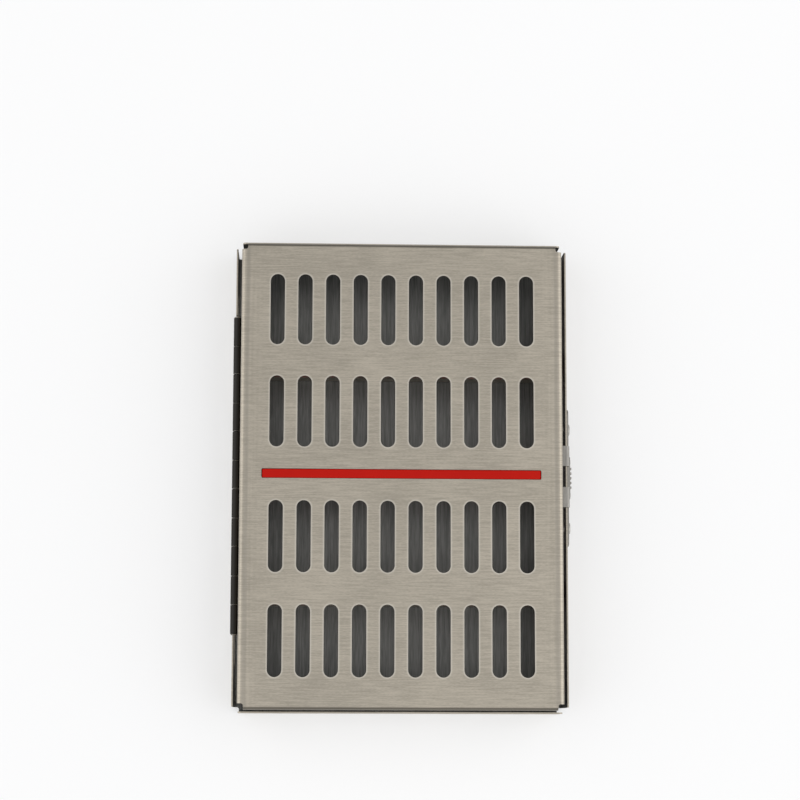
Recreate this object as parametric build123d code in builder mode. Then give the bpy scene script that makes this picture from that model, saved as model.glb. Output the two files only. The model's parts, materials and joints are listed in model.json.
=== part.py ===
from build123d import *
import os

# A hinged steel cassette that holds twelve dental instruments while they are
# washed, sterilised and carried. Millimetres, +Z up, +Y along the instruments,
# hinge on the -X side and latch on the +X side. The origin is the middle of the
# tray's flat underside.

# Driving dimensions of the case
tray_width = 140.0  # across the instruments, over the folded walls
tray_length = 198.0  # along the instruments, over the folded walls
case_height = 30.0  # underside of the tray to the top of the closed lid
rim_drop = 6.0  # top of the lid down to the rim of the tray
sheet = 0.6  # steel sheet of the tray, the lid and the rails
fold_radius = 1.0  # inside radius of every fold
lid_side_gap = 1.8  # between the lid's flanges and the tray's long walls
lid_end_gap = 0.7  # between the lid's flanges and the tray's end walls
flange_depth = 12.0  # depth of the lid over its flanges
relief_radius = 1.0  # round relief at each end of a fold; the walls are as wide as their folds
corner_rounding = 1.5  # free corners of walls and flanges

# Driving dimensions of the piercings
slot_columns = 10
slot_width = 6.0
side_margin = 14.6  # tray's side to the edge of the first column of slots
end_margin = 14.6  # tray's end to the end of the outer rows of slots
strip_band = 22.4  # plain band of the lid that carries the red strip
rail_band = 13.2  # plain band of the lid over each insert rail
floor_slot_length = 14.0  # drain slots in the middle of the floor
drain_hole_diameter = 4.5
drain_hole_inset = 5.5  # tray's end to the centres of the drain holes
wall_slot_length = 16.0
wall_slot_height = 5.0
wall_slot_level = 7.0  # underside of the tray to the middle of the wall slots
end_wall_slots = 5
long_wall_slot_steps = (-3, -1, 0, 1, 3)  # in half spacings of a rail; the rails' own places stay plain

# Driving dimensions of the insert rails and their silicone inserts
rail_offset = 0.7  # rails stand this far outside the middle of their bands
rail_width = 10.6
rail_height = 10.7
rail_lip = 0.9  # lips folded in over the insert's foot
channel_corner = 1.1  # outside radius of the folds of the rails and of the strip's channel
rail_tab_height = 9.0
rail_tab_side_gap = 0.3  # between the end tab and the rail's legs
lug_length = 3.0  # raised ends of the legs that carry the closed lid
lug_clearance = 0.05
insert_end_gap = 7.0  # tray's side to the end of the insert
insert_head_width = 9.0
insert_head_height = 8.4
notch_count = 12
insert_end_tooth = 1.5  # added to the half tooth at each end of the insert
notch_tooth = 2.65  # left between two notches
notch_depth = 7.6
tooth_rounding = 0.9
soft_clearance = 0.1  # around the silicone pieces in their channels

# Driving dimensions of the lid's red strip and the channel that holds it
strip_margin = 11.5  # tray's side to the end of the strip's slot
strip_slot_width = 4.0
strip_slot_rounding = 0.6
strip_side_gap = 0.15
strip_end_gap = 0.3
strip_body_width = 8.0
strip_channel_height = 6.0
strip_channel_overhang = 3.0  # channel past each end of the strip's slot
strip_lip = 0.7
strip_nose_width = 9.0
strip_nose_height = 2.8
strip_nose_rounding = 1.6

# Driving dimensions of the hinge
hinge_length = 133.0
knuckle_count = 11
knuckle_gap = 0.3
leaf_thickness = 0.6
flip_clearance = 0.5  # between the open lid's flange and the tray's leaf
knuckle_clearance = 0.2  # between the knuckles and the lid's flange
rim_over_axis = 1.0
pin_fit = 0.05
pin_head_radius = 1.3
pin_head_thickness = 0.5
tray_leaf_height = 9.2
lid_leaf_margin = 0.4  # lower edge of the flange to the lower edge of the lid's leaf
leaf_rivet_count = 5
leaf_rivet_inset = 6.5  # hinge's end to the middle of its last rivet

# Driving dimensions of the sliding latch
latch_length = 58.0
latch_height = 11.5
latch_sheet = 0.8
latch_gap = 0.15  # between the bar and the tray's wall
latch_below_rim = 2.5
latch_travel = 6.5
latch_rounding = 2.5
tongue_width = 8.5
tongue_spacing = 17.4
tongue_lift = 0.3  # rim to the underside of the tongues
tongue_inner_radius = 0.3
tongue_reach = 0.5  # tips past the inner face of the lid's flange
tongue_side_gap = 0.5
tongue_top_gap = 0.6
guide_spacing = 42.0
guide_fit = 0.1
guide_below_middle = 1.6  # guide rivets below the middle of the bar
washer_thickness = 0.3
washer_radius = 2.8
washer_gap = 0.05
pad_length = 18.0
pad_height = 7.0
pad_thickness = 0.8
pad_rounding = 1.5
pad_above_middle = 0.6
rib_count = 5
rib_pitch = 2.0
rib_width = 0.9
rib_height = 0.6

# Rivets
hole_fit = 0.05  # between a rivet's shank and its hole
head_rounding = 0.7  # share of a head's height that is rounded
leaf_rivet_shank = 1.0
leaf_rivet_head = 1.8
leaf_head_height = 0.5
rail_rivet_shank = 1.2
rail_rivet_head = 2.0
rail_head_height = 0.7
guide_rivet_shank = 1.5
guide_rivet_head = 2.5
guide_head_height = 0.8
pad_rivet_shank = 0.7
pad_rivet_head = 1.2
pad_head_height = 0.4
pad_rivet_inset = 2.0  # pad's end to the middle of its rivet
flush_depth = 0.4  # cone at the flush end of a pad rivet

# Sizes worked out from the driving dimensions
half_width = tray_width / 2
half_length = tray_length / 2
wall_inner_x = half_width - sheet
rim_level = case_height - rim_drop
lid_outer_x = wall_inner_x - lid_side_gap
lid_outer_y = half_length - sheet - lid_end_gap
lid_inner_x = lid_outer_x - sheet
lid_underside = case_height - sheet
flange_bottom = case_height - flange_depth

slot_pitch = (tray_width - 2 * side_margin - slot_width) / (slot_columns - 1)
slot_length = (half_length - end_margin - strip_band / 2 - rail_band) / 2
inner_row = strip_band / 2 + slot_length / 2
outer_row = strip_band / 2 + slot_length + rail_band + slot_length / 2
rail_middle = strip_band / 2 + slot_length + rail_band / 2 + rail_offset
strip_slot_length = tray_width - 2 * strip_margin

hinge_reach = (lid_side_gap + sheet + leaf_thickness + flip_clearance) / 2
axis_x = -(lid_outer_x + hinge_reach)
axis_z = rim_level - rim_over_axis
knuckle_radius = hinge_reach - knuckle_clearance
bore_radius = knuckle_radius - leaf_thickness
pin_radius = bore_radius - pin_fit
leaf_top = axis_z - knuckle_radius - knuckle_gap
knuckle_pitch = (hinge_length + knuckle_gap) / knuckle_count
knuckle_length = knuckle_pitch - knuckle_gap
tray_leaf_bottom = leaf_top - tray_leaf_height
tray_leaf_rivet_level = tray_leaf_bottom + leaf_rivet_head + leaf_head_height
lid_leaf_bottom = flange_bottom + lid_leaf_margin
lid_leaf_rivet_level = (lid_leaf_bottom + leaf_top) / 2
leaf_rivet_pitch = (hinge_length - 2 * leaf_rivet_inset) / (leaf_rivet_count - 1)

latch_inner_x = half_width + latch_gap
latch_outer_x = latch_inner_x + latch_sheet
latch_top = rim_level - latch_below_rim
latch_middle = latch_top - latch_height / 2
guide_level = latch_middle - guide_below_middle
pad_level = latch_middle + pad_above_middle
tongue_underside = rim_level + tongue_lift
tongue_top = tongue_underside + latch_sheet
notch_roof = tongue_top + tongue_top_gap
catch_level = tongue_underside - tongue_lift
notch_half_width = tongue_width / 2 + tongue_side_gap
pad_outer_x = latch_outer_x + pad_thickness
pad_rivet_spacing = pad_length - 2 * pad_rivet_inset

rail_top = sheet + rail_height
rail_flat = wall_inner_x - sheet - fold_radius
rail_tab_width = rail_width - 2 * (sheet + rail_tab_side_gap)
rail_rivet_level = sheet + rail_tab_height / 2
insert_length = tray_width - 2 * insert_end_gap
insert_top = rail_top + soft_clearance + insert_head_height
notch_pitch = (insert_length - 2 * insert_end_tooth) / notch_count
notch_width = notch_pitch - notch_tooth


def folded_pan(width, length, depth):
    # One sheet with its four edges folded up: floor on Z = 0, walls standing up.
    flat_x = width / 2 - sheet - fold_radius
    flat_y = length / 2 - sheet - fold_radius
    sides = ((0, flat_x, flat_y), (90, flat_y, flat_x), (180, flat_x, flat_y), (270, flat_y, flat_x))
    fold_end = sheet + fold_radius
    with BuildPart() as pan:
        with BuildSketch():
            Rectangle(2 * flat_x, 2 * flat_y)
            with GridLocations(2 * flat_x, 2 * flat_y, 2, 2):
                Circle(relief_radius, mode=Mode.SUBTRACT)
        extrude(amount=sheet)
        for angle, reach, half_edge in sides:
            outward = Vector(1, 0, 0).rotate(Axis.Z, angle)
            along = Vector(0, 1, 0).rotate(Axis.Z, angle)
            with BuildSketch(Plane(origin=outward * reach, x_dir=outward, z_dir=-along)):
                with Locations((0, fold_end)):
                    Circle(fold_end)
                    Circle(fold_radius, mode=Mode.SUBTRACT)
                    Rectangle(fold_end, fold_end, align=(Align.MIN, Align.MAX), mode=Mode.INTERSECT)
            extrude(amount=half_edge - relief_radius, both=True)
            with BuildSketch(Plane(origin=outward * (reach + fold_radius), x_dir=along, z_dir=outward)):
                with Locations((0, fold_end)):
                    Rectangle(
                        2 * (half_edge - relief_radius),
                        depth - fold_end,
                        align=(Align.CENTER, Align.MIN),
                    )
                fillet(vertices().group_by(Axis.Y)[-1], corner_rounding)
            extrude(amount=sheet)
    return pan.part


def rivet(shank, head, head_height, grip, tail_height):
    # Along Z: the head stands on Z = 0 and the sheets lie below it. With no tail
    # height the far end is a cone, flush with the last sheet.
    with BuildPart() as piece:
        Cylinder(shank, grip, align=(Align.CENTER, Align.CENTER, Align.MAX))
        Cylinder(head, head_height, align=(Align.CENTER, Align.CENTER, Align.MIN))
        fillet(piece.edges().group_by(Axis.Z)[-1], head_rounding * head_height)
        with Locations((0, 0, -grip)):
            if tail_height:
                Cylinder(head, tail_height, align=(Align.CENTER, Align.CENTER, Align.MAX))
            else:
                widest = shank + flush_depth
                Cone(widest, shank, flush_depth, align=(Align.CENTER, Align.CENTER, Align.MIN))
        if tail_height:
            fillet(piece.edges().group_by(Axis.Z)[0], head_rounding * tail_height)
    return piece.part


def sideways(x, y, z, direction):
    # Place of a rivet whose head points along -X or +X.
    return Plane(origin=(x, y, z), x_dir=(0, 1, 0), z_dir=(direction, 0, 0))


# Where the repeated features stand
row_middles = (-outer_row, -inner_row, inner_row, outer_row)
rail_middles = {"front": -rail_middle, "rear": rail_middle}
leaf_rivet_places = [leaf_rivet_pitch * (i - (leaf_rivet_count - 1) / 2) for i in range(leaf_rivet_count)]
knuckle_places = [knuckle_pitch * (i - (knuckle_count - 1) / 2) for i in range(knuckle_count)]
tray_knuckle_places = knuckle_places[0::2]
lid_knuckle_places = knuckle_places[1::2]
tongue_places = (-tongue_spacing / 2, tongue_spacing / 2)
guide_places = (-guide_spacing / 2, guide_spacing / 2)
pad_rivet_places = (-pad_rivet_spacing / 2, pad_rivet_spacing / 2)
long_wall_slot_places = [step * rail_middle / 2 for step in long_wall_slot_steps]

# The tray: floor with a row of drain slots and drain holes at both ends, walls
# with slots for steam, and a lowered wall under the hinge
with BuildPart() as tray:
    add(folded_pan(tray_width, tray_length, rim_level))
    with BuildSketch():
        with GridLocations(slot_pitch, 1, slot_columns, 1):
            SlotOverall(floor_slot_length, slot_width, rotation=90)
        with GridLocations(slot_pitch, 2 * (half_length - drain_hole_inset), slot_columns, 2):
            Circle(drain_hole_diameter / 2)
    extrude(amount=sheet, mode=Mode.SUBTRACT)
    with BuildSketch(Plane.YZ):
        with Locations(*[(y, wall_slot_level) for y in long_wall_slot_places]):
            SlotOverall(wall_slot_length, wall_slot_height)
        with Locations(*[(y, rail_rivet_level) for y in rail_middles.values()]):
            Circle(rail_rivet_shank + hole_fit)
    extrude(amount=half_width, both=True, mode=Mode.SUBTRACT)
    with BuildSketch(Plane.XZ):
        with Locations((0, wall_slot_level)):
            with GridLocations(2 * slot_pitch, 1, end_wall_slots, 1):
                SlotOverall(wall_slot_length, wall_slot_height)
    extrude(amount=half_length, both=True, mode=Mode.SUBTRACT)
    with BuildSketch(Plane.YZ.offset(-half_width)):
        with Locations((0, leaf_top)):
            Rectangle(hinge_length + 2 * pin_head_radius, rim_level, align=(Align.CENTER, Align.MIN))
        with Locations(*[(y, tray_leaf_rivet_level) for y in leaf_rivet_places]):
            Circle(leaf_rivet_shank + hole_fit)
    extrude(amount=sheet, mode=Mode.SUBTRACT)
    with BuildSketch(Plane.YZ.offset(wall_inner_x)):
        with Locations(*[(y, guide_level) for y in guide_places]):
            Circle(guide_rivet_shank + hole_fit)
    extrude(amount=sheet, mode=Mode.SUBTRACT)
tray.part.label = "tray"

# The lid: the same fold upside down, four rows of slots, the slot of the red
# strip, and two bayonet notches in the flange at the latch
with BuildPart() as lid_panel:
    with Locations((0, 0, case_height)):
        add(folded_pan(2 * lid_outer_x, 2 * lid_outer_y, flange_depth), rotation=(180, 0, 0))
    with BuildSketch(Plane.XY.offset(lid_underside)):
        with Locations(*[(0, y) for y in row_middles]):
            with GridLocations(slot_pitch, 1, slot_columns, 1):
                SlotOverall(slot_length, slot_width, rotation=90)
        RectangleRounded(strip_slot_length, strip_slot_width, strip_slot_rounding)
    extrude(amount=sheet, mode=Mode.SUBTRACT)
    with BuildSketch(Plane.YZ.offset(lid_inner_x)):
        for place in tongue_places:
            with Locations((place, notch_roof)):
                Rectangle(2 * notch_half_width, flange_depth, align=(Align.CENTER, Align.MAX))
            with Locations((place, notch_roof)):
                Rectangle(
                    notch_half_width + latch_travel,
                    notch_roof - catch_level,
                    align=(Align.MIN, Align.MAX),
                )
    extrude(amount=sheet, mode=Mode.SUBTRACT)
    with BuildSketch(Plane.YZ.offset(-lid_outer_x)):
        with Locations(*[(y, lid_leaf_rivet_level) for y in leaf_rivet_places]):
            Circle(leaf_rivet_shank + hole_fit)
    extrude(amount=sheet, mode=Mode.SUBTRACT)
lid_panel.part.label = "lid_panel"


def hinge_leaf(face_x, bottom, places):
    # A plate whose outer face is at face_x, with its own knuckles round the pin.
    with BuildPart() as leaf:
        with BuildSketch(Plane.YZ.offset(face_x)):
            with Locations((0, bottom)):
                Rectangle(hinge_length, leaf_top - bottom, align=(Align.CENTER, Align.MIN))
        extrude(amount=leaf_thickness)
        for place in places:
            with BuildSketch(Plane.XZ.offset(-place)):
                with Locations((axis_x, axis_z)):
                    Circle(knuckle_radius)
                with Locations((face_x, leaf_top)):
                    Rectangle(leaf_thickness, axis_z - leaf_top, align=(Align.MIN, Align.MIN))
                with Locations((axis_x, axis_z)):
                    Circle(bore_radius, mode=Mode.SUBTRACT)
            extrude(amount=knuckle_length / 2, both=True)
    return leaf.part


# The hinge: one leaf on the outside of the tray's wall, one on the outside of
# the lid's flange, and a headed pin through their knuckles
with BuildPart() as tray_hinge_leaf:
    add(hinge_leaf(-half_width - leaf_thickness, tray_leaf_bottom, tray_knuckle_places))
    with BuildSketch(Plane.YZ.offset(-half_width - leaf_thickness)):
        with Locations(*[(y, tray_leaf_rivet_level) for y in leaf_rivet_places]):
            Circle(leaf_rivet_shank + hole_fit)
    extrude(amount=leaf_thickness, mode=Mode.SUBTRACT)
tray_hinge_leaf.part.label = "tray_hinge_leaf"

with BuildPart() as lid_hinge_leaf:
    add(hinge_leaf(-lid_outer_x - leaf_thickness, lid_leaf_bottom, lid_knuckle_places))
    with BuildSketch(Plane.YZ.offset(-lid_outer_x - leaf_thickness)):
        with Locations(*[(y, lid_leaf_rivet_level) for y in leaf_rivet_places]):
            Circle(leaf_rivet_shank + hole_fit)
    extrude(amount=leaf_thickness, mode=Mode.SUBTRACT)
lid_hinge_leaf.part.label = "lid_hinge_leaf"

with BuildPart() as hinge_pin:
    with BuildSketch(Plane.XZ):
        with Locations((axis_x, axis_z)):
            Circle(pin_radius)
    extrude(amount=hinge_length / 2 + pin_fit + pin_head_thickness, both=True)
    for side in (-1, 1):
        with BuildSketch(Plane.XZ.offset(side * (hinge_length / 2 + pin_fit))):
            with Locations((axis_x, axis_z)):
                Circle(pin_head_radius)
        extrude(amount=side * pin_head_thickness)
hinge_pin.part.label = "hinge_pin"

leaf_rivet = rivet(
    leaf_rivet_shank,
    leaf_rivet_head,
    leaf_head_height,
    leaf_thickness + sheet,
    leaf_head_height,
)

with BuildPart() as tray_leaf_rivets:
    face_x = -half_width - leaf_thickness
    with Locations(*[sideways(face_x, y, tray_leaf_rivet_level, -1) for y in leaf_rivet_places]):
        add(leaf_rivet)
tray_leaf_rivets.part.label = "tray_leaf_rivets"

with BuildPart() as lid_leaf_rivets:
    face_x = -lid_outer_x - leaf_thickness
    with Locations(*[sideways(face_x, y, lid_leaf_rivet_level, -1) for y in leaf_rivet_places]):
        add(leaf_rivet)
lid_leaf_rivets.part.label = "lid_leaf_rivets"


def insert_rail(middle):
    # A channel across the tray: lips over the insert's foot, raised lugs under
    # the lid's flanges, and a tab at each end that is riveted to the wall.
    half = rail_width / 2
    inner = half - sheet
    with BuildPart() as rail:
        with BuildSketch(Plane.YZ.offset(-rail_flat)):
            with Locations((middle, sheet)):
                Rectangle(rail_width, rail_height, align=(Align.CENTER, Align.MIN))
            fillet(vertices().group_by(Axis.Y)[0], channel_corner)
            with Locations((middle, 2 * sheet)):
                Rectangle(
                    2 * inner,
                    rail_height - 2 * sheet,
                    align=(Align.CENTER, Align.MIN),
                    mode=Mode.SUBTRACT,
                )
                Rectangle(
                    2 * (inner - rail_lip),
                    rail_height,
                    align=(Align.CENTER, Align.MIN),
                    mode=Mode.SUBTRACT,
                )
        extrude(amount=2 * rail_flat)
        for side in (-1, 1):
            with BuildSketch(Plane.XZ.offset(-(middle + side * half))):
                with GridLocations(2 * rail_flat - lug_length, 1, 2, 1):
                    with Locations((0, rail_top - sheet)):
                        Rectangle(
                            lug_length,
                            flange_bottom - lug_clearance - rail_top + sheet,
                            align=(Align.CENTER, Align.MIN),
                        )
            extrude(amount=side * sheet)
        fold_end = sheet + fold_radius
        for side in (-1, 1):
            fold_start = (side * rail_flat, middle, sheet)
            with BuildSketch(Plane(origin=fold_start, x_dir=(side, 0, 0), z_dir=(0, -side, 0))):
                with Locations((0, fold_end)):
                    Circle(fold_end)
                    Circle(fold_radius, mode=Mode.SUBTRACT)
                    Rectangle(fold_end, fold_end, align=(Align.MIN, Align.MAX), mode=Mode.INTERSECT)
                with Locations((fold_radius, fold_end)):
                    Rectangle(sheet, rail_tab_height - fold_end, align=(Align.MIN, Align.MIN))
            extrude(amount=rail_tab_width / 2, both=True)
        with BuildSketch(Plane.YZ):
            with Locations((middle, rail_rivet_level)):
                Circle(rail_rivet_shank + hole_fit)
        extrude(amount=half_width, both=True, mode=Mode.SUBTRACT)
    return rail.part


def silicone_insert(middle):
    # A foot under the rail's lips, a neck between them and a notched head above.
    foot_width = rail_width - 2 * (sheet + soft_clearance)
    neck_width = foot_width - 2 * rail_lip
    foot_top = rail_top - sheet - soft_clearance
    head_bottom = rail_top + soft_clearance
    with BuildPart() as insert:
        with BuildSketch(Plane.YZ.offset(-insert_length / 2)):
            with Locations((middle, 2 * sheet)):
                Rectangle(foot_width, foot_top - 2 * sheet, align=(Align.CENTER, Align.MIN))
            with Locations((middle, foot_top)):
                Rectangle(neck_width, head_bottom - foot_top, align=(Align.CENTER, Align.MIN))
        extrude(amount=insert_length)
        with BuildSketch(Plane.XZ.offset(-middle)):
            with Locations((0, head_bottom)):
                Rectangle(insert_length, insert_head_height, align=(Align.CENTER, Align.MIN))
            with GridLocations(notch_pitch, 1, notch_count, 1):
                with Locations((0, insert_top - notch_depth + notch_width / 2)):
                    Circle(notch_width / 2, mode=Mode.SUBTRACT)
                    Rectangle(notch_width, notch_depth, align=(Align.CENTER, Align.MIN), mode=Mode.SUBTRACT)
            fillet(vertices().group_by(Axis.Y)[-1], tooth_rounding)
        extrude(amount=insert_head_width / 2, both=True)
    return insert.part


# Two rails across the tray, each with its silicone insert
os.makedirs("parts", exist_ok=True)
rail_parts = {}
for end, middle in rail_middles.items():
    with BuildPart() as rail:
        add(insert_rail(middle))
    rail.part.label = end + "_insert_rail"
    rail_parts[rail.part.label] = rail.part
    with BuildPart() as insert:
        add(silicone_insert(middle))
    insert.part.label = end + "_silicone_insert"
    rail_parts[insert.part.label] = insert.part

rail_rivet_planes = []
for middle in rail_middles.values():
    for side in (-1, 1):
        rail_rivet_planes.append(sideways(side * half_width, middle, rail_rivet_level, side))
with BuildPart() as rail_rivets:
    with Locations(*rail_rivet_planes):
        add(rivet(rail_rivet_shank, rail_rivet_head, rail_head_height, 2 * sheet, rail_head_height))
rail_rivets.part.label = "rail_rivets"

# The channel spot-welded under the lid, open downwards, with lips that hold the
# red strip
channel_half = strip_body_width / 2 + soft_clearance + sheet
channel_bottom = lid_underside - strip_channel_height
channel_length = strip_slot_length + 2 * strip_channel_overhang
with BuildPart() as strip_channel:
    with BuildSketch(Plane.YZ.offset(-channel_length / 2)):
        with Locations((0, lid_underside)):
            Rectangle(2 * channel_half, strip_channel_height, align=(Align.CENTER, Align.MAX))
        fillet(vertices().group_by(Axis.Y)[-1], channel_corner)
        with Locations((0, lid_underside - sheet)):
            Rectangle(
                2 * (channel_half - sheet),
                strip_channel_height - 2 * sheet,
                align=(Align.CENTER, Align.MAX),
                mode=Mode.SUBTRACT,
            )
            Rectangle(
                2 * (channel_half - sheet - strip_lip),
                strip_channel_height,
                align=(Align.CENTER, Align.MAX),
                mode=Mode.SUBTRACT,
            )
    extrude(amount=channel_length)
    with BuildSketch(Plane.XY.offset(lid_underside)):
        RectangleRounded(strip_slot_length, strip_slot_width, strip_slot_rounding)
    extrude(amount=-sheet, mode=Mode.SUBTRACT)
strip_channel.part.label = "strip_channel"

# The red silicone strip: a tongue that fills the lid's slot flush with its top,
# a body inside the channel and a nose that presses on the instruments
body_top = lid_underside - sheet - soft_clearance
lip_top = channel_bottom + sheet + soft_clearance
lip_bottom = channel_bottom - soft_clearance
with BuildPart() as lid_strip:
    with BuildSketch(Plane.YZ.offset(-channel_length / 2)):
        with Locations((0, body_top)):
            Rectangle(strip_body_width, body_top - lip_top, align=(Align.CENTER, Align.MAX))
        with Locations((0, lip_top)):
            Rectangle(
                strip_body_width - 2 * strip_lip,
                lip_top - lip_bottom,
                align=(Align.CENTER, Align.MAX),
            )
        with Locations((0, lip_bottom)):
            Rectangle(strip_nose_width, strip_nose_height, align=(Align.CENTER, Align.MAX))
        fillet(vertices().group_by(Axis.Y)[0], strip_nose_rounding)
    extrude(amount=channel_length)
    with BuildSketch(Plane.XY.offset(body_top)):
        RectangleRounded(
            strip_slot_length - 2 * strip_end_gap,
            strip_slot_width - 2 * strip_side_gap,
            strip_slot_rounding - strip_side_gap,
        )
    extrude(amount=case_height - body_top)
lid_strip.part.label = "lid_strip"

# The sliding latch bar on the outside of the tray's wall. Its two tongues reach
# over the rim into the lid's bayonet notches; slid along +Y they stand over the
# flange and hold the lid down
with BuildPart() as latch_bar:
    with BuildSketch(Plane.YZ.offset(latch_inner_x)):
        with Locations((0, latch_middle)):
            RectangleRounded(latch_length, latch_height, latch_rounding)
        with Locations(*[(y - latch_travel / 2, guide_level) for y in guide_places]):
            SlotCenterToCenter(latch_travel, 2 * (guide_rivet_shank + guide_fit), mode=Mode.SUBTRACT)
        with Locations(*[(y, pad_level) for y in pad_rivet_places]):
            Circle(pad_rivet_shank + hole_fit, mode=Mode.SUBTRACT)
    extrude(amount=latch_sheet)
    for place in pad_rivet_places:
        with Locations(sideways(latch_inner_x, place, pad_level, 1)):
            Cone(
                pad_rivet_shank + flush_depth + hole_fit,
                pad_rivet_shank + hole_fit,
                flush_depth,
                align=(Align.CENTER, Align.CENTER, Align.MIN),
                mode=Mode.SUBTRACT,
            )
    tongue_outer_radius = tongue_inner_radius + latch_sheet
    tip_x = lid_inner_x - tongue_reach
    for place in tongue_places:
        with BuildSketch(Plane.XZ.offset(-place)):
            with BuildLine():
                Polyline(
                    (latch_outer_x - tongue_outer_radius, tongue_top),
                    (tip_x, tongue_top),
                    (tip_x, tongue_underside),
                    (latch_inner_x - tongue_inner_radius, tongue_underside),
                )
                CenterArc(
                    (latch_inner_x - tongue_inner_radius, tongue_underside - tongue_inner_radius),
                    tongue_inner_radius,
                    90,
                    -90,
                )
                Polyline(
                    (latch_inner_x, tongue_underside - tongue_inner_radius),
                    (latch_inner_x, latch_top - latch_rounding),
                    (latch_outer_x, latch_top - latch_rounding),
                    (latch_outer_x, tongue_top - tongue_outer_radius),
                )
                CenterArc(
                    (latch_outer_x - tongue_outer_radius, tongue_top - tongue_outer_radius),
                    tongue_outer_radius,
                    0,
                    90,
                )
            make_face()
        extrude(amount=tongue_width / 2, both=True)
latch_bar.part.label = "latch_bar"

with BuildPart() as latch_thumb_pad:
    with BuildSketch(Plane.YZ.offset(latch_outer_x)):
        with Locations((0, pad_level)):
            RectangleRounded(pad_length, pad_height, pad_rounding)
        with Locations(*[(y, pad_level) for y in pad_rivet_places]):
            Circle(pad_rivet_shank + hole_fit, mode=Mode.SUBTRACT)
    extrude(amount=pad_thickness)
    with BuildSketch(Plane.YZ.offset(pad_outer_x)):
        with Locations((0, pad_level)):
            with GridLocations(rib_pitch, 1, rib_count, 1):
                SlotOverall(pad_height - pad_rounding, rib_width, rotation=90)
    extrude(amount=rib_height)
latch_thumb_pad.part.label = "latch_thumb_pad"

with BuildPart() as thumb_pad_rivets:
    with Locations(*[sideways(pad_outer_x, y, pad_level, 1) for y in pad_rivet_places]):
        add(rivet(pad_rivet_shank, pad_rivet_head, pad_head_height, latch_sheet + pad_thickness, 0))
thumb_pad_rivets.part.label = "thumb_pad_rivets"

washer_x = latch_outer_x + washer_gap
with BuildPart() as latch_washers:
    with BuildSketch(Plane.YZ.offset(washer_x)):
        with Locations(*[(y, guide_level) for y in guide_places]):
            Circle(washer_radius)
            Circle(guide_rivet_shank + hole_fit, mode=Mode.SUBTRACT)
    extrude(amount=washer_thickness)
latch_washers.part.label = "latch_washers"

guide_grip = washer_x + washer_thickness - wall_inner_x
with BuildPart() as latch_guide_rivets:
    with Locations(*[sideways(washer_x + washer_thickness, y, guide_level, 1) for y in guide_places]):
        add(rivet(guide_rivet_shank, guide_rivet_head, guide_head_height, guide_grip, leaf_head_height))
latch_guide_rivets.part.label = "latch_guide_rivets"

for piece in (
    tray, lid_panel, tray_hinge_leaf, lid_hinge_leaf, hinge_pin, tray_leaf_rivets, lid_leaf_rivets,
    rail_rivets, strip_channel, lid_strip, latch_bar, latch_thumb_pad, thumb_pad_rivets,
    latch_washers, latch_guide_rivets,
):
    export_step(piece.part, "parts/" + piece.part.label + ".step")
for name, part in rail_parts.items():
    export_step(part, "parts/" + name + ".step")
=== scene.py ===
import json
import math

import bmesh
import bpy
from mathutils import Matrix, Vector

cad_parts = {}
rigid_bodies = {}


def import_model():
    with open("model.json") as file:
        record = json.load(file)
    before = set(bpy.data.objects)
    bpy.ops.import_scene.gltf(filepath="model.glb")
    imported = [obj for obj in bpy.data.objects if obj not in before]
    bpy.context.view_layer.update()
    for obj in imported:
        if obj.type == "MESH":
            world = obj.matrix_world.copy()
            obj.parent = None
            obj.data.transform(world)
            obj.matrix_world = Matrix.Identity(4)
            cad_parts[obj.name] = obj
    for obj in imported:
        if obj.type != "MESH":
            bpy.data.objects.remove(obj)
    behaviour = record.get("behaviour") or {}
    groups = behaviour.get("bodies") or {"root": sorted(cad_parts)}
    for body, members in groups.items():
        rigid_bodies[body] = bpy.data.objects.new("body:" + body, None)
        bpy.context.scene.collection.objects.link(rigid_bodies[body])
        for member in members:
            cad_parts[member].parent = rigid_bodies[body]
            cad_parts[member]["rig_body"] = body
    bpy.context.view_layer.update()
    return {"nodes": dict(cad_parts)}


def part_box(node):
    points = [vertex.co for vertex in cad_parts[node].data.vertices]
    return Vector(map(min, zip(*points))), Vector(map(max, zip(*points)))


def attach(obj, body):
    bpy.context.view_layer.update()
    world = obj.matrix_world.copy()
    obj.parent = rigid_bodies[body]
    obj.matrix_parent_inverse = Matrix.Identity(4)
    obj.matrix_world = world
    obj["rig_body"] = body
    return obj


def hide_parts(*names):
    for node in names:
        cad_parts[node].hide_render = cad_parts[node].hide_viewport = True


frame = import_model()
mm = 0.001
touching = 0.01 * mm  # places closer than this count as one
squarely = 0.9  # how squarely a picked face looks along an axis
print("frame loaded:", len(frame["nodes"]), "nodes")


# small tools for selecting and shaping by hand

def deselectAll():
    for item in list(bpy.context.selected_objects):
        item.select_set(False)


def pickOnly(piece):
    deselectAll()
    piece.select_set(True)
    bpy.context.view_layer.objects.active = piece


def startEdit(piece, mode="FACE"):
    pickOnly(piece)
    bpy.ops.object.mode_set(mode="EDIT")
    bpy.ops.mesh.select_mode(type=mode)
    bpy.ops.mesh.select_all(action="DESELECT")


def endEdit():
    bpy.ops.object.mode_set(mode="OBJECT")


def selectFaces(piece, test):
    bpy.ops.mesh.select_mode(type="FACE")
    bpy.ops.mesh.select_all(action="DESELECT")
    shape = bmesh.from_edit_mesh(piece.data)
    for face in shape.faces:
        face.select_set(test(face.calc_center_median(), face.normal))
    bmesh.update_edit_mesh(piece.data)


def selectEdges(piece, test):
    bpy.ops.mesh.select_mode(type="EDGE")
    bpy.ops.mesh.select_all(action="DESELECT")
    shape = bmesh.from_edit_mesh(piece.data)
    for edge in shape.edges:
        first, second = edge.verts[0].co, edge.verts[1].co
        edge.select_set(test(first, second))
    shape.select_flush_mode()
    bmesh.update_edit_mesh(piece.data)


def near(a, b):
    return abs(a - b) < touching


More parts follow.
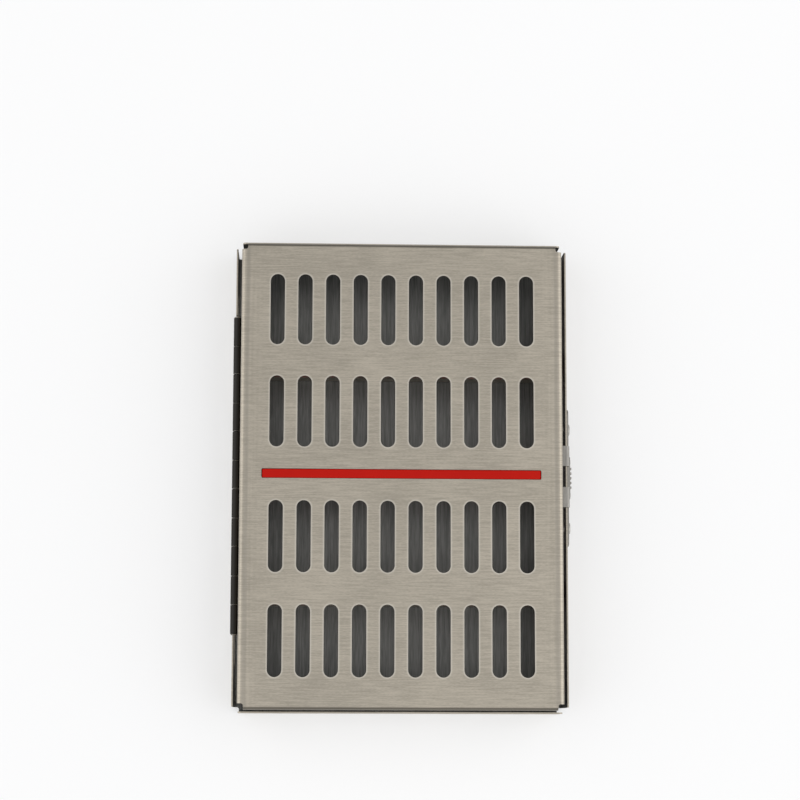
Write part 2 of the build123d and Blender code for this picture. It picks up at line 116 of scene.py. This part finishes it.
def boxPiece(name, low, high):
    deselectAll()
    bpy.ops.mesh.primitive_cube_add(size=1, location=(Vector(low) + Vector(high)) / 2)
    piece = bpy.context.object
    piece.name = name
    piece.data.name = name
    piece.scale = Vector(high) - Vector(low)
    bpy.ops.object.transform_apply(location=True, rotation=True, scale=True)
    return piece


def cutAt(place, normal):
    bpy.ops.mesh.select_all(action="SELECT")
    bpy.ops.mesh.bisect(plane_co=place, plane_no=normal)


def pullOut(offset):
    bpy.ops.mesh.extrude_region_move(TRANSFORM_OT_translate={"value": offset})


def stepWider(share, middle):
    pullOut((0, 0, 0))
    bpy.ops.transform.resize(value=(1, share, 1), center_override=(0, middle, 0))


def bevelPicked(width, segments):
    bpy.ops.mesh.bevel(offset=width, segments=segments, affect="EDGES")


def applyAll(piece):
    pickOnly(piece)
    for modifier in list(piece.modifiers):
        bpy.ops.object.modifier_apply(modifier=modifier.name)


def roundEdges(piece, look, finishIndex=-1):
    bevel = piece.modifiers.new("rounding", "BEVEL")
    bevel.width = look["edgeRounding"]
    bevel.segments = look["edgeSegments"]
    bevel.limit_method = "ANGLE"
    bevel.angle_limit = math.radians(look["sharpAngle"])
    bevel.material = finishIndex
    applyAll(piece)


def smoothShade(piece, look):
    pickOnly(piece)
    bpy.ops.object.shade_smooth_by_angle(angle=math.radians(look["shadeAngle"]))
    flats = piece.modifiers.new("flats", "WEIGHTED_NORMAL")
    flats.keep_sharp = True
    flats.weight = 100  # the widest flats decide the shading
    applyAll(piece)


def settle(piece, nodeName):
    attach(piece, frame["nodes"][nodeName]["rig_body"])
    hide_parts(nodeName)


# small tools for materials

def newMaterial(name):
    material = bpy.data.materials.new(name)
    material.use_nodes = True
    tree = material.node_tree
    tree.nodes.clear()
    output = tree.nodes.new("ShaderNodeOutputMaterial")
    shader = tree.nodes.new("ShaderNodeBsdfPrincipled")
    tree.links.new(shader.outputs["BSDF"], output.inputs["Surface"])
    return material, tree, shader


def feed(tree, socket, value):
    if isinstance(value, (int, float)):
        socket.default_value = value
    else:
        tree.links.new(value, socket)


def mathNode(tree, operation, *values):
    node = tree.nodes.new("ShaderNodeMath")
    node.operation = operation
    for socket, value in zip(node.inputs, values):
        feed(tree, socket, value)
    return node.outputs[0]


def pastNode(tree, value, reach):  # how far a value lies past a reach, on either side
    return mathNode(tree, "SUBTRACT", mathNode(tree, "ABSOLUTE", value), reach)


def distanceNode(tree, first, second):
    squares = mathNode(tree, "MULTIPLY", second, second)
    squares = mathNode(tree, "MULTIPLY_ADD", first, first, squares)
    return mathNode(tree, "SQRT", squares)


def rangeNode(tree, value, low, high, newLow, newHigh):
    node = tree.nodes.new("ShaderNodeMapRange")
    node.interpolation_type = "SMOOTHSTEP"
    tree.links.new(value, node.inputs["Value"])
    node.inputs["From Min"].default_value = low
    node.inputs["From Max"].default_value = high
    node.inputs["To Min"].default_value = newLow
    node.inputs["To Max"].default_value = newHigh
    return node.outputs["Result"]


def splitNode(tree, vector):
    node = tree.nodes.new("ShaderNodeSeparateXYZ")
    tree.links.new(vector, node.inputs[0])
    return tuple(node.outputs)


def noiseNode(tree, vector, detail):
    node = tree.nodes.new("ShaderNodeTexNoise")
    node.inputs["Scale"].default_value = 1.0
    node.inputs["Detail"].default_value = detail
    tree.links.new(vector, node.inputs["Vector"])
    return node.outputs["Fac"]


def stretchedNoise(tree, parts, scales, detail):
    vector = tree.nodes.new("ShaderNodeCombineXYZ")
    for socket, part, scale in zip(vector.inputs, parts, scales):
        tree.links.new(mathNode(tree, "MULTIPLY", part, scale), socket)
    return noiseNode(tree, vector.outputs["Vector"], detail)


def evenNoise(tree, vector, scale, detail):
    mapping = tree.nodes.new("ShaderNodeMapping")
    mapping.inputs["Scale"].default_value = (scale,) * 3
    tree.links.new(vector, mapping.inputs["Vector"])
    return noiseNode(tree, mapping.outputs["Vector"], detail)


def mixColour(tree, factor, first, second):
    node = tree.nodes.new("ShaderNodeMix")
    node.data_type = "RGBA"
    tree.links.new(factor, node.inputs[0])
    for socket, value in zip([s for s in node.inputs if s.type == "RGBA"], (first, second)):
        if isinstance(value, tuple):
            socket.default_value = (*value, 1)
        else:
            tree.links.new(value, socket)
    return [s for s in node.outputs if s.type == "RGBA"][0]


def bumpNode(tree, height, strength, distance, normal=None):
    node = tree.nodes.new("ShaderNodeBump")
    node.inputs["Strength"].default_value = strength
    node.inputs["Distance"].default_value = distance
    tree.links.new(height, node.inputs["Height"])
    if normal:
        tree.links.new(normal, node.inputs["Normal"])
    return node.outputs["Normal"]


# the brushing was done before the sheet was folded, so lines along X run up the
# long walls and along the end walls
def brushedPlace(tree, look):
    coordinates = tree.nodes.new("ShaderNodeTexCoord")
    place = splitNode(tree, coordinates.outputs["Object"])
    facing = splitNode(tree, coordinates.outputs["Normal"])
    x, y, z = place
    lengthwise = look["along"] == "Y"
    if lengthwise:
        x, y = y, x
    endFace = mathNode(tree, "ABSOLUTE", facing[0 if lengthwise else 1])
    endFace = rangeNode(tree, endFace, *look["endFacing"], 0, 1)
    across = mathNode(tree, "MULTIPLY_ADD", z, endFace, y)
    along = mathNode(tree, "MULTIPLY_ADD", z, mathNode(tree, "SUBTRACT", 1.0, endFace), x)
    return place, (x, y, z), (along, across, z)


# short marks from handling, beside the long folds
def handlingMarks(tree, place, look, streaks):
    markScales = (look["markWidth"], look["markLength"], 0)
    marks = stretchedNoise(tree, place, markScales, look["markDetail"])
    marks = mathNode(tree, "SUBTRACT", marks, 0.5)
    fromMiddle = mathNode(tree, "ABSOLUTE", place[0])
    edgeShare = rangeNode(tree, fromMiddle, *look["foldReach"], 0, look["markShare"])
    return mathNode(tree, "MULTIPLY_ADD", marks, edgeShare, streaks)


# a burnished ring round each slot, full at its edge and gone a ring's width out
def slotRings(tree, place, look, colour):
    x, y = place[:2]
    pitch, radius = look["slotPitch"], look["slotRadius"]
    cell = mathNode(tree, "FRACT", mathNode(tree, "DIVIDE", x, pitch))  # one cell per slot
    offX = mathNode(tree, "MULTIPLY", mathNode(tree, "SUBTRACT", cell, 0.5), pitch)
    offRow = pastNode(tree, pastNode(tree, y, look["rowMiddle"]), look["rowSpread"])
    offY = mathNode(tree, "MAXIMUM", pastNode(tree, offRow, look["slotStraight"]), 0.0)
    reach = distanceNode(tree, offX, offY)
    ring = rangeNode(tree, reach, radius, radius + look["ringWidth"], look["ringShare"], 0)
    inRow = mathNode(tree, "LESS_THAN", mathNode(tree, "ABSOLUTE", x), look["rowReach"])
    return mixColour(tree, mathNode(tree, "MULTIPLY", ring, inRow), colour, look["ringTone"])


# a faint press mark along each long side
def pressMarks(tree, place, look, colour):
    fromMark = mathNode(tree, "ABSOLUTE", pastNode(tree, place[0], look["pressMark"]))
    crease = rangeNode(tree, fromMark, *look["pressReach"], look["pressShare"], 0)
    return mixColour(tree, crease, colour, look["pressTone"])


# painted shade: a darker line along the fold at each end, standing in for the dark surroundings
# reflected in the fold
def endFoldPaintedShade(tree, place, look, colour):
    fromMiddle = mathNode(tree, "ABSOLUTE", place[1])
    paintedShadeAtEnd = rangeNode(tree, fromMiddle, *look["endFoldShadeReach"], 0, look["endFoldShadeShare"])
    onTop = rangeNode(tree, place[2], *look["endFoldShadeLevel"], 0, 1)
    return mixColour(tree, mathNode(tree, "MULTIPLY", paintedShadeAtEnd, onTop), colour, look["endFoldShadeTone"])


# painted shade: the knuckles darkened round the pin, where the gap at the hinge lies in shade
def knucklePaintedShade(tree, place, look, colour):
    axisX, axisZ = look["knuckleShadeAxis"]
    offX = mathNode(tree, "SUBTRACT", place[0], axisX)
    offZ = mathNode(tree, "SUBTRACT", place[2], axisZ)
    knuckleShadeMask = rangeNode(tree, distanceNode(tree, offX, offZ), *look["knuckleShadeReach"], 1, 0)
    return mixColour(tree, knuckleShadeMask, colour, look["knuckleShadeTone"])


def brushedSteel(name, look, *touches):
    material, tree, shader = newMaterial(name)
    place, turned, brushed = brushedPlace(tree, look)
    fineScales = (look["fineLength"], look["fineWidth"], look["layerScale"])
    streakScales = (look["streakLength"], look["streakWidth"], look["layerScale"])
    fine = stretchedNoise(tree, brushed, fineScales, look["fineDetail"])
    streaks = stretchedNoise(tree, brushed, streakScales, look["streakDetail"])
    cloud = stretchedNoise(tree, turned, (look["cloudScale"],) * 3, look["cloudDetail"])
    if "foldReach" in look:
        streaks = handlingMarks(tree, place, look, streaks)
    tone = mathNode(tree, "MULTIPLY", fine, look["fineShare"])
    tone = mathNode(tree, "MULTIPLY_ADD", streaks, look["streakShare"], tone)
    tone = mathNode(tree, "MULTIPLY_ADD", cloud, look["cloudShare"], tone)
    tone = rangeNode(tree, tone, *look["toneReach"], 0, 1)
    colour = mixColour(tree, tone, look["dark"], look["light"])
    for touch in touches:
        colour = touch(tree, place, look, colour)
    tree.links.new(colour, shader.inputs["Base Color"])
    roughBase = look["rough"] - look["roughCloud"] / 2
    rough = mathNode(tree, "MULTIPLY_ADD", cloud, look["roughCloud"], roughBase)
    rough = mathNode(tree, "MULTIPLY_ADD", streaks, look["roughStreak"], rough)
    tree.links.new(rough, shader.inputs["Roughness"])
    wave = bumpNode(tree, cloud, look["waveStrength"], look["waveDepth"])
    grain = bumpNode(tree, fine, look["grainStrength"], look["grainDepth"], wave)
    tree.links.new(grain, shader.inputs["Normal"])
    shader.inputs["Metallic"].default_value = 1.0
    return material


# satin sheet of the tray and the rails: lengths, widths and scales are in waves
# per metre, so a higher value makes a finer grain
sheetLook = {
    "along": "X",
    "dark": (0.391, 0.354, 0.292),
    "light": (0.536, 0.484, 0.402),
    "fineLength": 700,
    "fineWidth": 6200,
    "fineDetail": 2,
    "fineShare": 0.38,
    "streakLength": 100,
    "streakWidth": 2200,
    "streakDetail": 3,
    "streakShare": 0.45,
    "layerScale": 60,
    "cloudScale": 38,
    "cloudDetail": 3,
    "cloudShare": 0.17,
    "endFacing": (0.4, 0.9),
    "toneReach": (0.37, 0.63),
    "rough": 0.34,
    "roughCloud": 0.1,
    "roughStreak": 0.06,
    "waveStrength": 0.2,
    "waveDepth": 0.2 * mm,
    "grainStrength": 0.3,
    "grainDepth": 0.01 * mm,
}
# the lid is the same sheet, with its rings, press marks, painted shade along the end folds, and
# marks
lidLook = dict(
    sheetLook,
    slotPitch=11.644 * mm,
    slotRadius=3.0 * mm,
    slotStraight=12.0 * mm,
    rowMiddle=47.8 * mm,
    rowSpread=21.6 * mm,
    rowReach=58.2 * mm,
    ringTone=(0.688, 0.648, 0.568),
    ringWidth=0.95 * mm,
    ringShare=0.75,
    pressTone=(0.336, 0.308, 0.264),
    pressMark=64.9 * mm,
    pressReach=(0.25 * mm, 1.3 * mm),
    pressShare=0.45,
    # painted shade along the fold at each end, standing in for a dark reflection
    endFoldShadeTone=(0.09, 0.082, 0.068),
    endFoldShadeReach=(96.25 * mm, 96.95 * mm),
    endFoldShadeLevel=(27.9 * mm, 28.7 * mm),
    endFoldShadeShare=0.75,
    foldReach=(56 * mm, 66 * mm),
    markWidth=900,
    markLength=18,
    markDetail=2,
    markShare=0.5,
)
# inside, the steel is rougher and brushed along the case, and its colour is darkened as painted
# shade
insideShadeLook = dict(
    sheetLook,
    along="Y",
    dark=(0.175, 0.174, 0.165),
    light=(0.29, 0.287, 0.272),
    fineLength=140,
    fineWidth=3600,
    streakLength=32,
    streakWidth=850,
    rough=0.47,
    waveStrength=0.1,
    grainStrength=0.2,
)
hingeLook = dict(
    sheetLook,
    along="Y",
    dark=(0.352, 0.340, 0.316),
    light=(0.448, 0.436, 0.404),
    # painted shade on the knuckles round the pin
    knuckleShadeTone=(0.035, 0.033, 0.03),
    knuckleShadeAxis=(-69.35 * mm, 23 * mm),
    knuckleShadeReach=(1.7 * mm, 3.2 * mm),
)
latchLook = dict(
    sheetLook,
    along="Y",
    dark=(0.272, 0.260, 0.240),
    light=(0.368, 0.352, 0.324),
    rough=0.36,
)
rivetLook = dict(
    sheetLook,
    along="Y",
    dark=(0.400, 0.388, 0.360),
    light=(0.512, 0.496, 0.460),
    rough=0.28,
)
edgeLook = dict(
    sheetLook,
    dark=(0.496, 0.464, 0.408),
    light=(0.608, 0.568, 0.504),
    rough=0.28,
)

lidSteel = brushedSteel("lidSteel", lidLook, slotRings, pressMarks, endFoldPaintedShade)
sheetSteel = brushedSteel("sheetSteel", sheetLook)
hingeSteel = brushedSteel("hingeSteel", hingeLook, knucklePaintedShade)
latchSteel = brushedSteel("latchSteel", latchLook)
rivetSteel = brushedSteel("rivetSteel", rivetLook)
cutEdge = brushedSteel("burnishedEdge", edgeLook)
insideShadedSteel = brushedSteel("paintedShadeInside", insideShadeLook)


# matt red silicone with a fine moulded grain and a few pale specks of dust
siliconeLook = {
    "deep": (0.42, 0.005, 0.002),
    "bright": (0.53, 0.009, 0.003),
    "dust": (0.56, 0.035, 0.02),
    "dustReach": (0.66, 0.8),
    "dustShare": 0.5,
    "grainScale": 2600,
    "grainDetail": 4,
    "grainStrength": 0.3,
    "grainDepth": 0.02 * mm,
    "cloudScale": 60,
    "cloudDetail": 3,
    "rough": 0.5,
    "roughCloud": 0.12,
    "roughGrain": 0.1,
    "gloss": 0.1,
    "scatter": 0.08,
    "scatterColour": (1.0, 0.2, 0.1),
    "scatterDepth": 0.6 * mm,
}


def mouldedSilicone(name, look):
    material, tree, shader = newMaterial(name)
    place = tree.nodes.new("ShaderNodeTexCoord").outputs["Object"]
    grain = evenNoise(tree, place, look["grainScale"], look["grainDetail"])
    cloud = evenNoise(tree, place, look["cloudScale"], look["cloudDetail"])
    colour = mixColour(tree, cloud, look["deep"], look["bright"])
    specks = rangeNode(tree, grain, *look["dustReach"], 0, look["dustShare"])
    colour = mixColour(tree, specks, colour, look["dust"])
    tree.links.new(colour, shader.inputs["Base Color"])
    roughBase = look["rough"] - look["roughCloud"] / 2
    rough = mathNode(tree, "MULTIPLY_ADD", cloud, look["roughCloud"], roughBase)
    rough = mathNode(tree, "MULTIPLY_ADD", grain, look["roughGrain"], rough)
    tree.links.new(rough, shader.inputs["Roughness"])
    bump = bumpNode(tree, grain, look["grainStrength"], look["grainDepth"])
    tree.links.new(bump, shader.inputs["Normal"])
    shader.inputs["Specular IOR Level"].default_value = look["gloss"]
    shader.inputs["Subsurface Weight"].default_value = look["scatter"]
    shader.inputs["Subsurface Radius"].default_value = look["scatterColour"]
    shader.inputs["Subsurface Scale"].default_value = look["scatterDepth"]
    return material


redSilicone = mouldedSilicone("redSilicone", siliconeLook)
print("materials made")


# the sheet pieces again, with their cut edges broken by deburring; angles are
# in degrees
deburr = {
    "mergeReach": 0.001 * mm,
    "flatAngle": 0.5,
    "edgeRounding": 0.17 * mm,
    "edgeSegments": 2,
    "sharpAngle": 40,
    "shadeAngle": 35,
    "insideShadeDepth": 0.55 * mm,  # what lies further in than this is made rougher and given the painted inside shade
    "insideShadeFacing": 0.5,
}
sheetPieces = {
    "tray": ("traySheet", "sheet_steel", sheetSteel),
    "lid_panel": ("lidSheet", "sheet_steel", lidSteel),
    "front_insert_rail": ("frontRailSheet", "sheet_steel", sheetSteel),
    "rear_insert_rail": ("rearRailSheet", "sheet_steel", sheetSteel),
    "strip_channel": ("stripChannelSheet", "sheet_steel", sheetSteel),
    "tray_hinge_leaf": ("trayHingeLeafPlate", "hinge_steel", hingeSteel),
    "lid_hinge_leaf": ("lidHingeLeafPlate", "hinge_steel", hingeSteel),
    "hinge_pin": ("hingePinRod", "hinge_steel", hingeSteel),
    "latch_bar": ("latchBarPlate", "latch_steel", latchSteel),
    "latch_thumb_pad": ("thumbPadPlate", "latch_steel", latchSteel),
    "latch_washers": ("latchWasherRings", "rivet_steel", rivetSteel),
}
rivetNodes = (
    "tray_leaf_rivets",
    "lid_leaf_rivets",
    "rail_rivets",
    "thumb_pad_rivets",
    "latch_guide_rivets",
)


# the tray opens upwards and the lid downwards, and both are rougher inside with painted shade
# darkening their colour
def paintedShadeInside(piece, nodeName):
    low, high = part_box(nodeName)
    depth, facing = deburr["insideShadeDepth"], deburr["insideShadeFacing"]

    def withinWalls(centre):
        return abs(centre.x) < high.x - depth and abs(centre.y) < high.y - depth

    def insideTray(centre, normal):
        return withinWalls(centre) and centre.z > low.z + depth and normal.z > -facing

    def insideLid(centre, normal):
        return withinWalls(centre) and centre.z < high.z - depth and normal.z < facing

    piece.data.materials.append(insideShadedSteel)
    startEdit(piece)
    selectFaces(piece, insideTray if nodeName == "tray" else insideLid)
    piece.active_material_index = piece.data.materials.find(insideShadedSteel.name)
    bpy.ops.object.material_slot_assign()
    endEdit()


def deburredCopy(nodeName, pieceName, finish):
    piece = bpy.data.objects.new(pieceName, frame["nodes"][nodeName].data.copy())
    bpy.context.scene.collection.objects.link(piece)
    piece.data.name = pieceName
    piece.data.materials.clear()
    piece.data.materials.append(finish)
    piece.data.materials.append(cutEdge)
    startEdit(piece, "VERT")
    bpy.ops.mesh.select_all(action="SELECT")
    bpy.ops.mesh.remove_doubles(threshold=deburr["mergeReach"])
    bpy.ops.mesh.customdata_custom_splitnormals_clear()
    flatAngle = math.radians(deburr["flatAngle"])
    bpy.ops.mesh.dissolve_limited(angle_limit=flatAngle, use_dissolve_boundaries=False)
    endEdit()
    roundEdges(piece, deburr, piece.data.materials.find(cutEdge.name))
    if nodeName in ("tray", "lid_panel"):
        paintedShadeInside(piece, nodeName)
    smoothShade(piece, deburr)
    settle(piece, nodeName)


for nodeName, (pieceName, slotName, finish) in sheetPieces.items():
    deburredCopy(nodeName, pieceName, finish)
for nodeName in rivetNodes:
    rivetSlot = frame["nodes"][nodeName].material_slots[0]
    rivetSlot.link = "OBJECT"
    rivetSlot.material = rivetSteel
print("sheet pieces deburred")


# silicone insert: one notch shaped from a thin block, repeated, then closed at
# the ends and given its neck and foot
insert = {
    "notchCount": 12,
    "toothWidth": 2.65 * mm,
    "endTooth": 1.5 * mm,
    "notchDepth": 7.6 * mm,
    "notchRounding": 0.995,  # of half the notch's width
    "notchSegments": 9,
    "tipRounding": 0.9 * mm,
    "tipSegments": 4,
    "headHeight": 8.4 * mm,
    "headWidth": 9.0 * mm,
    "neckWidth": 7.4 * mm,
    "neckHeight": 0.8 * mm,
    "edgeRounding": 0.45 * mm,
    "edgeSegments": 3,
    "sharpAngle": 50,
    "shadeAngle": 40,
}


def finishRubber(piece, look, nodeName):
    roundEdges(piece, look)
    smoothShade(piece, look)
    piece.data.materials.append(redSilicone)
    settle(piece, nodeName)


def shapeNotch(piece, middleX, halfPitch, halfNotch, bottom, top):
    def alongNotch(a, b, level):
        atLevel = near(a.z, level) and near(b.z, level)
        return atLevel and near(abs(a.x - middleX), halfNotch) and near(a.x, b.x)

    startEdit(piece)
    for side in (-1, 1):
        cutAt((middleX + side * halfNotch, 0, 0), (1, 0, 0))
    selectFaces(piece, lambda c, n: n.z > squarely and abs(c.x - middleX) > halfNotch)
    pullOut((0, 0, top - bottom))
    selectEdges(piece, lambda a, b: alongNotch(a, b, top))
    bevelPicked(insert["tipRounding"], insert["tipSegments"])
    selectEdges(piece, lambda a, b: alongNotch(a, b, bottom))
    bevelPicked(halfNotch * insert["notchRounding"], insert["notchSegments"])
    selectFaces(piece, lambda c, n: abs(n.x) > squarely and near(abs(c.x - middleX), halfPitch))
    bpy.ops.mesh.delete(type="FACE")
    endEdit()


def repeatNotch(piece, pitch):
    row = piece.modifiers.new("row", "ARRAY")
    row.count = insert["notchCount"]
    row.use_relative_offset = False
    row.use_constant_offset = True
    row.constant_offset_displace = (pitch, 0, 0)
    row.use_merge_vertices = True
    row.merge_threshold = touching
    applyAll(piece)


def siliconeInsert(nodeName, pieceName):
    low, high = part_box(nodeName)
    middle = (low.y + high.y) / 2
    headBottom = high.z - insert["headHeight"]
    notchBottom = high.z - insert["notchDepth"]
    pitch = (high.x - low.x - 2 * insert["endTooth"]) / insert["notchCount"]
    halfNotch = (pitch - insert["toothWidth"]) / 2
    halfRow = pitch * insert["notchCount"] / 2
    halfHead = insert["headWidth"] / 2
    halfNeck = insert["neckWidth"] / 2
    firstX = pitch / 2 - halfRow
    piece = boxPiece(
        pieceName,
        (firstX - pitch / 2, middle - halfHead, headBottom),
        (firstX + pitch / 2, middle + halfHead, notchBottom),
    )
    shapeNotch(piece, firstX, pitch / 2, halfNotch, notchBottom, high.z)
    repeatNotch(piece, pitch)
    startEdit(piece)
    for side in (-1, 1):
        selectEdges(piece, lambda a, b: near(a.x, side * halfRow) and near(b.x, side * halfRow))
        pullOut((side * insert["endTooth"], 0, 0))
        bpy.ops.mesh.edge_face_add()
    for side in (-1, 1):
        cutAt((0, middle + side * halfNeck, 0), (0, 1, 0))
    selectFaces(piece, lambda c, n: n.z < -squarely and abs(c.y - middle) < halfNeck)
    pullOut((0, 0, -insert["neckHeight"]))
    stepWider((high.y - low.y) / insert["neckWidth"], middle)
    pullOut((0, 0, low.z - headBottom + insert["neckHeight"]))
    bpy.ops.mesh.select_all(action="SELECT")
    bpy.ops.mesh.normals_make_consistent(inside=False)
    endEdit()
    finishRubber(piece, insert, nodeName)


siliconeInsert("front_silicone_insert", "frontInsertRubber")
siliconeInsert("rear_silicone_insert", "rearInsertRubber")
print("silicone inserts modelled")


# the red strip: a nose below the channel, a body inside it and a tongue that
# fills the lid's slot
strip = {
    "noseHeight": 2.8 * mm,
    "noseRounding": 1.6 * mm,
    "noseSegments": 5,
    "neckWidth": 6.6 * mm,
    "neckHeight": 0.8 * mm,
    "bodyWidth": 8.0 * mm,
    "bodyTop": 28.7 * mm,
    "tongueWidth": 3.7 * mm,
    "tongueLength": 116.4 * mm,
    "cornerRounding": 0.45 * mm,
    "cornerSegments": 3,
    "edgeRounding": 0.3 * mm,
    "edgeSegments": 3,
    "sharpAngle": 50,
    "shadeAngle": 40,
}


def redStrip(nodeName, pieceName):
    low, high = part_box(nodeName)
    halfNeck = strip["neckWidth"] / 2
    halfTongue = strip["tongueWidth"] / 2
    tongueEnd = strip["tongueLength"] / 2
    bodyTop = strip["bodyTop"]
    noseTop = low.z + strip["noseHeight"]
    bodyBottom = noseTop + strip["neckHeight"]

    def alongNose(a, b):
        return near(a.z, low.z) and near(b.z, low.z) and near(a.y, b.y)

    def onTongue(centre, normal):
        atTop = normal.z > squarely and near(centre.z, bodyTop)
        return atTop and abs(centre.y) < halfTongue and abs(centre.x) < tongueEnd

    def upTongueCorner(a, b):
        upright = near(a.x, b.x) and near(a.y, b.y)
        return upright and near(abs(a.x), tongueEnd) and max(a.z, b.z) > high.z - touching

    piece = boxPiece(pieceName, low, (high.x, high.y, noseTop))
    startEdit(piece)
    selectEdges(piece, alongNose)
    bevelPicked(strip["noseRounding"], strip["noseSegments"])
    for side in (-1, 1):
        cutAt((0, side * halfNeck, 0), (0, 1, 0))
    selectFaces(piece, lambda c, n: n.z > squarely and abs(c.y) < halfNeck)
    pullOut((0, 0, strip["neckHeight"]))
    stepWider(strip["bodyWidth"] / strip["neckWidth"], 0)
    pullOut((0, 0, bodyTop - bodyBottom))
    for side in (-1, 1):
        cutAt((0, side * halfTongue, 0), (0, 1, 0))
        cutAt((side * tongueEnd, 0, 0), (1, 0, 0))
    selectFaces(piece, onTongue)
    pullOut((0, 0, high.z - bodyTop))
    selectEdges(piece, upTongueCorner)
    bevelPicked(strip["cornerRounding"], strip["cornerSegments"])
    endEdit()
    finishRubber(piece, strip, nodeName)


redStrip("lid_strip", "lidStripRubber")
print("red strip modelled")


# camera a metre above the floor, just past the front end and tilted back
# towards the middle
camera = {
    "tilt": 8.131,
    "yaw": -2.367,
    "roll": 0.49,
    "place": (-41.32 * mm, -107.41 * mm, 1000 * mm),
    "lens": 105.28,
    "sensor": 36,
    "nearest": 0.01,
}


def placeCamera():
    cameraData = bpy.data.cameras.new("camera")
    cameraData.lens = camera["lens"]
    cameraData.sensor_width = camera["sensor"]
    cameraData.clip_start = camera["nearest"]
    cameraObject = bpy.data.objects.new("camera", cameraData)
    bpy.context.scene.collection.objects.link(cameraObject)
    cameraObject.rotation_mode = "ZYX"
    cameraObject.rotation_euler = [math.radians(camera[turn]) for turn in ("tilt", "yaw", "roll")]
    cameraObject.location = camera["place"]
    bpy.context.scene.camera = cameraObject


# plain pale floor, a sky that is darker overhead and at both ends, and a wide
# soft lamp at each side
studio = {
    "floorColour": (0.96, 0.96, 0.96),
    "floorSize": 8.0,
    "floorRough": 0.9,
    "floorGloss": 0.1,
    "floorWhite": 0.45,  # share of pure white that eyes and mirrors see in the floor
    "skyColour": (0.985, 0.99, 1.0),
    "overhead": 0.76,
    "horizon": 1.08,
    "heightPower": 2.0,
    # each end: its way along Y, where its shade starts and is full, what light is left
    "skyEnds": (
        (-1, 0.45, 0.95, 0.6),
        (1, 0.0, 0.7, 0.4),
    ),
    "lamps": (
        ("leftLamp", (-1.15, 0.0, 1.05), 8.0),
        ("rightLamp", (1.15, 0.0, 1.05), 11.0),
    ),
    "lampWidth": 3.0,
    "lampHeight": 1.9,
}


def layFloor():
    deselectAll()
    bpy.ops.mesh.primitive_plane_add(size=studio["floorSize"], location=(0, 0, 0))
    floor = bpy.context.object
    floor.name = "floor"
    material, tree, shader = newMaterial("palePaper")
    shader.inputs["Base Color"].default_value = (*studio["floorColour"], 1)
    shader.inputs["Roughness"].default_value = studio["floorRough"]
    shader.inputs["Specular IOR Level"].default_value = studio["floorGloss"]
    rays = tree.nodes.new("ShaderNodeLightPath").outputs
    seen = mathNode(tree, "MAXIMUM", rays["Is Glossy Ray"], rays["Is Transmission Ray"])
    seen = mathNode(tree, "MAXIMUM", rays["Is Camera Ray"], seen)
    white = tree.nodes.new("ShaderNodeEmission")
    mix = tree.nodes.new("ShaderNodeMixShader")
    tree.links.new(mathNode(tree, "MULTIPLY", seen, studio["floorWhite"]), mix.inputs[0])
    tree.links.new(shader.outputs[0], mix.inputs[1])
    tree.links.new(white.outputs[0], mix.inputs[2])
    tree.links.new(mix.outputs[0], tree.nodes["Material Output"].inputs["Surface"])
    floor.data.materials.append(material)


def makeSky():
    world = bpy.data.worlds.new("studio")
    world.use_nodes = True
    tree = world.node_tree
    background = tree.nodes["Background"]
    background.inputs["Color"].default_value = (*studio["skyColour"], 1)
    y, z = splitNode(tree, tree.nodes.new("ShaderNodeTexCoord").outputs["Generated"])[1:]
    height = mathNode(tree, "POWER", mathNode(tree, "ABSOLUTE", z), studio["heightPower"])
    level = rangeNode(tree, height, 0, 1, studio["horizon"], studio["overhead"])
    for way, start, full, share in studio["skyEnds"]:
        towardsEnd = mathNode(tree, "MULTIPLY", y, way)
        shade = rangeNode(tree, towardsEnd, start, full, 1, share)
        level = mathNode(tree, "MULTIPLY", level, shade)
    tree.links.new(level, background.inputs["Strength"])
    bpy.context.scene.world = world


def hangLamps():
    for name, place, power in studio["lamps"]:
        lampData = bpy.data.lights.new(name, "AREA")
        lampData.shape = "RECTANGLE"
        lampData.size = studio["lampWidth"]
        lampData.size_y = studio["lampHeight"]
        lampData.energy = power
        lamp = bpy.data.objects.new(name, lampData)
        lamp.location = place
        lamp.rotation_euler = (-Vector(place)).to_track_quat("-Z", "Y").to_euler()
        bpy.context.scene.collection.objects.link(lamp)


placeCamera()
layFloor()
makeSky()
hangLamps()
bpy.context.scene.view_settings.view_transform = "Standard"
print("camera and studio set")
